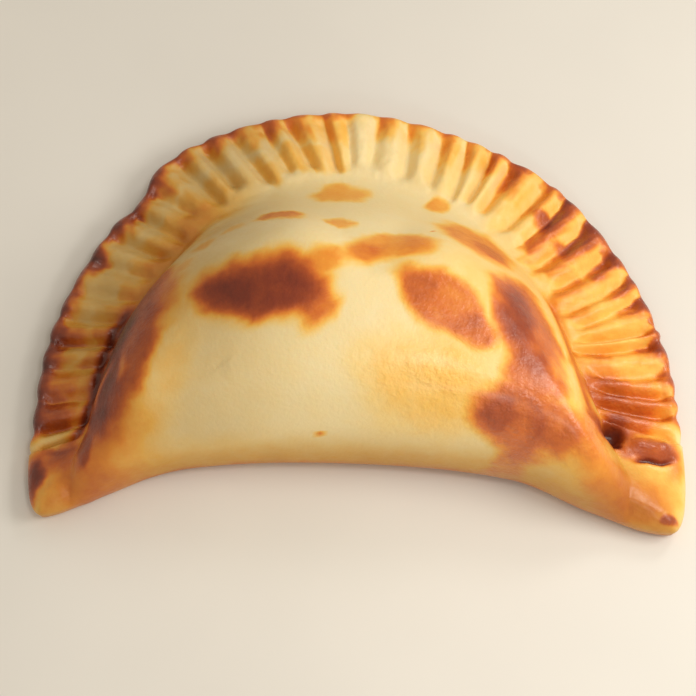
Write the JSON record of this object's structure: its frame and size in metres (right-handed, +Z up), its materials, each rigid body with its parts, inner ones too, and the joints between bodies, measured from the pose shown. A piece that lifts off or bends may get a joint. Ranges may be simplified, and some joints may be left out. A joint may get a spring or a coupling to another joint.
{
  "type": "baked empanada",
  "caption": "Baked half-moon empanada with a puffed body, a fork-crimped rim round the back and a small burst in the crust.",
  "frame": {"origin": "middle of the footprint of the bounding box, on the flat base", "axes": "+X along the length from the left tip to the right tip, +Y from the folded side to the crimped back, +Z up"},
  "size_m": [0.1326, 0.0942, 0.0363],
  "materials": {
    "baked_crust": null
  },
  "bodies": {
    "root": {"empanada": "baked_crust"}
  },
  "joints": []
}
